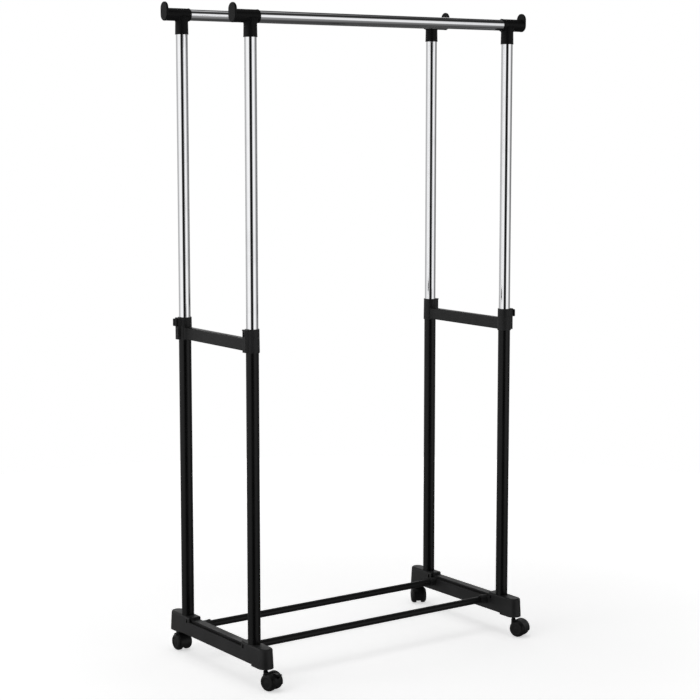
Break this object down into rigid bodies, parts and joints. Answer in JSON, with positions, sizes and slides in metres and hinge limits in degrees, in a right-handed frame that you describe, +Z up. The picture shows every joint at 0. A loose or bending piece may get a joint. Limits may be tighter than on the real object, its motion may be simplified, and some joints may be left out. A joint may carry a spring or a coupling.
{
  "type": "rolling clothes rack",
  "caption": "Free-standing double-rail clothes rack on twin-wheel casters, with telescoping posts that set each hanging rail's height.",
  "frame": {"origin": "on the floor, at the middle of the footprint", "axes": "+X along the hanging rails to the right, +Z up, the front faces -Y"},
  "size_m": [0.789, 0.4293, 1.4704],
  "materials": {
    "moulded_plastic": "black moulded plastic, fine matt grain",
    "coated_tube": "black powder coat, satin",
    "chrome_tube": "polished chrome plate",
    "caster_wheel": "black nylon, semi-gloss",
    "caster_plastic": "black moulded plastic",
    "knob_plastic": "black moulded plastic",
    "liner_plastic": "black plastic, unpolished",
    "blackened_steel": "steel, plated black, satin",
    "plated_steel": "zinc plate"
  },
  "bodies": {
    "frame": {"left_base_housing": "moulded_plastic", "right_base_housing": "moulded_plastic", "left_side_brace": "moulded_plastic", "right_side_brace": "moulded_plastic", "front_bottom_bar": "coated_tube", "rear_bottom_bar": "coated_tube", "front_left_lower_post": "coated_tube", "front_left_stem_socket": "liner_plastic", "front_right_lower_post": "coated_tube", "front_right_stem_socket": "liner_plastic", "rear_left_lower_post": "coated_tube", "rear_left_stem_socket": "liner_plastic", "rear_right_lower_post": "coated_tube", "rear_right_stem_socket": "liner_plastic", "rear_left_lock_insert": "plated_steel", "front_right_lock_insert": "plated_steel"},
    "front_rail": {"front_top_rail": "chrome_tube", "front_left_upper_post": "chrome_tube", "front_left_guide_bush": "liner_plastic", "front_left_rail_connector": "moulded_plastic", "front_right_upper_post": "chrome_tube", "front_right_guide_bush": "liner_plastic", "front_right_rail_connector": "moulded_plastic"},
    "rear_rail": {"rear_top_rail": "chrome_tube", "rear_left_upper_post": "chrome_tube", "rear_left_guide_bush": "liner_plastic", "rear_left_rail_connector": "moulded_plastic", "rear_right_upper_post": "chrome_tube", "rear_right_guide_bush": "liner_plastic", "rear_right_rail_connector": "moulded_plastic"},
    "rear_left_lock": {"rear_left_lock_knob": "knob_plastic", "rear_left_lock_stud": "plated_steel"},
    "front_right_lock": {"front_right_lock_knob": "knob_plastic", "front_right_lock_stud": "plated_steel"},
    "front_left_caster": {"front_left_caster_hood": "caster_plastic", "front_left_caster_stem": "blackened_steel", "front_left_caster_axle": "plated_steel", "front_left_brake_pin": "plated_steel"},
    "front_left_left_wheel_body": {"front_left_left_wheel": "caster_wheel"},
    "front_left_right_wheel_body": {"front_left_right_wheel": "caster_wheel"},
    "front_left_brake": {"front_left_brake_lever": "caster_plastic"},
    "front_right_caster": {"front_right_caster_hood": "caster_plastic", "front_right_caster_stem": "blackened_steel", "front_right_caster_axle": "plated_steel"},
    "front_right_left_wheel_body": {"front_right_left_wheel": "caster_wheel"},
    "front_right_right_wheel_body": {"front_right_right_wheel": "caster_wheel"},
    "rear_left_caster": {"rear_left_caster_hood": "caster_plastic", "rear_left_caster_stem": "blackened_steel", "rear_left_caster_axle": "plated_steel"},
    "rear_left_left_wheel_body": {"rear_left_left_wheel": "caster_wheel"},
    "rear_left_right_wheel_body": {"rear_left_right_wheel": "caster_wheel"},
    "rear_right_caster": {"rear_right_caster_hood": "caster_plastic", "rear_right_caster_stem": "blackened_steel", "rear_right_caster_axle": "plated_steel"},
    "rear_right_left_wheel_body": {"rear_right_left_wheel": "caster_wheel"},
    "rear_right_right_wheel_body": {"rear_right_right_wheel": "caster_wheel"}
  },
  "joints": [
    {"name": "front_rail_height", "type": "slide", "parent": "frame", "child": "front_rail", "axis": [0, 0, 1], "range_m": [-0.5911, 0.0389]},
    {"name": "rear_rail_height", "type": "slide", "parent": "frame", "child": "rear_rail", "axis": [0, 0, 1], "range_m": [-0.606, 0.024]},
    {"name": "rear_left_lock_turn", "type": "hinge", "parent": "frame", "child": "rear_left_lock", "pos_m": [-0.3735, 0.15267, 0.763], "axis": [-1, 0, 0], "range_deg": [0, 540]},
    {"name": "front_right_lock_turn", "type": "hinge", "parent": "frame", "child": "front_right_lock", "pos_m": [0.3735, -0.12933, 0.763], "axis": [1, 0, 0], "range_deg": [0, 540]},
    {"name": "front_left_caster_swivel", "type": "hinge", "parent": "frame", "child": "front_left_caster", "pos_m": [-0.349, -0.17433, 0.05], "axis": [0, 0, 1], "continuous": true},
    {"name": "front_left_left_wheel_spin", "type": "hinge", "parent": "front_left_caster", "child": "front_left_left_wheel_body", "pos_m": [-0.35537, -0.19345, 0.0192], "axis": [0.9455, 0.3256, 0], "continuous": true},
    {"name": "front_left_right_wheel_spin", "type": "hinge", "parent": "front_left_caster", "child": "front_left_right_wheel_body", "pos_m": [-0.33221, -0.18547, 0.0192], "axis": [0.9455, 0.3256, 0], "continuous": true},
    {"name": "front_left_brake_press", "type": "hinge", "parent": "front_left_caster", "child": "front_left_brake", "pos_m": [-0.34102, -0.1975, 0.0342], "axis": [0.9455, 0.3256, 0], "range_deg": [0, 12]},
    {"name": "front_right_caster_swivel", "type": "hinge", "parent": "frame", "child": "front_right_caster", "pos_m": [0.349, -0.17433, 0.05], "axis": [0, 0, 1], "continuous": true},
    {"name": "front_right_left_wheel_spin", "type": "hinge", "parent": "front_right_caster", "child": "front_right_left_wheel_body", "pos_m": [0.34364, -0.19375, 0.0192], "axis": [0.9272, 0.3746, 0], "continuous": true},
    {"name": "front_right_right_wheel_spin", "type": "hinge", "parent": "front_right_caster", "child": "front_right_right_wheel_body", "pos_m": [0.36635, -0.18458, 0.0192], "axis": [0.9272, 0.3746, 0], "continuous": true},
    {"name": "rear_left_caster_swivel", "type": "hinge", "parent": "frame", "child": "rear_left_caster", "pos_m": [-0.349, 0.19767, 0.05], "axis": [0, 0, 1], "continuous": true},
    {"name": "rear_left_left_wheel_spin", "type": "hinge", "parent": "rear_left_caster", "child": "rear_left_left_wheel_body", "pos_m": [-0.36125, 0.18167, 0.0192], "axis": [1, 0, 0], "continuous": true},
    {"name": "rear_left_right_wheel_spin", "type": "hinge", "parent": "rear_left_caster", "child": "rear_left_right_wheel_body", "pos_m": [-0.33675, 0.18167, 0.0192], "axis": [1, 0, 0], "continuous": true},
    {"name": "rear_right_caster_swivel", "type": "hinge", "parent": "frame", "child": "rear_right_caster", "pos_m": [0.349, 0.19767, 0.05], "axis": [0, 0, 1], "continuous": true},
    {"name": "rear_right_left_wheel_spin", "type": "hinge", "parent": "rear_right_caster", "child": "rear_right_left_wheel_body", "pos_m": [0.33039, 0.18994, 0.0192], "axis": [0.866, -0.5, 0], "continuous": true},
    {"name": "rear_right_right_wheel_spin", "type": "hinge", "parent": "rear_right_caster", "child": "rear_right_right_wheel_body", "pos_m": [0.35161, 0.17769, 0.0192], "axis": [0.866, -0.5, 0], "continuous": true}
  ]
}
